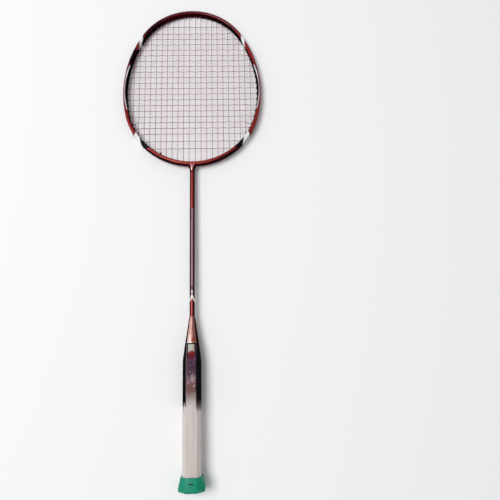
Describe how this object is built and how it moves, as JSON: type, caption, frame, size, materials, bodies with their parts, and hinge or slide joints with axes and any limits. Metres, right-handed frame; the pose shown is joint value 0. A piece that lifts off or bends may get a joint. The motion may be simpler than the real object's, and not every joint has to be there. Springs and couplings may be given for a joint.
{
  "type": "badminton racket",
  "caption": "Badminton racket with an oval strung head, slim straight shaft, cone, bare octagonal wooden handle and a flared butt cap.",
  "frame": {"origin": "centre of the butt cap end face, on the axis of the shaft", "axes": "+Y along the shaft from the butt to the tip of the head, +Z square to the string bed out of the front face, +X across the head"},
  "size_m": [0.2004, 0.675, 0.0312],
  "materials": {
    "rim_paint": "glossy metallic red paint with white flashes over a composite tube",
    "shaft_paint": "glossy dark red and black paint over a composite tube",
    "cone_plastic": "glossy copper-rose finish with black sides",
    "bare_wood": "bare pale wood, black paint fading from the cone",
    "cap_plastic": "semi-matte green moulded plastic",
    "staple_steel": "dull dark steel wire",
    "film": "thin clear film with a worn print",
    "string": "pink-red nylon",
    "grommet": "black moulded nylon"
  },
  "bodies": {
    "root": {"head_frame": "rim_paint", "throat_joint": "rim_paint", "shaft": "shaft_paint", "cone": "cone_plastic", "handle_wood": "bare_wood", "butt_cap": "cap_plastic", "cap_staples": "staple_steel", "handle_film": "film", "main_string": "string", "cross_string": "string", "string_knots": "string", "grommet_strip_tip": "grommet", "grommet_strip_upper_right": "grommet", "grommet_strip_upper_left": "grommet", "grommet_strip_side_right": "grommet", "grommet_strip_side_left": "grommet", "grommet_strip_lower_right": "grommet", "grommet_strip_lower_left": "grommet", "grommet_strip_throat_right": "grommet", "grommet_strip_throat_left": "grommet"}
  },
  "joints": []
}
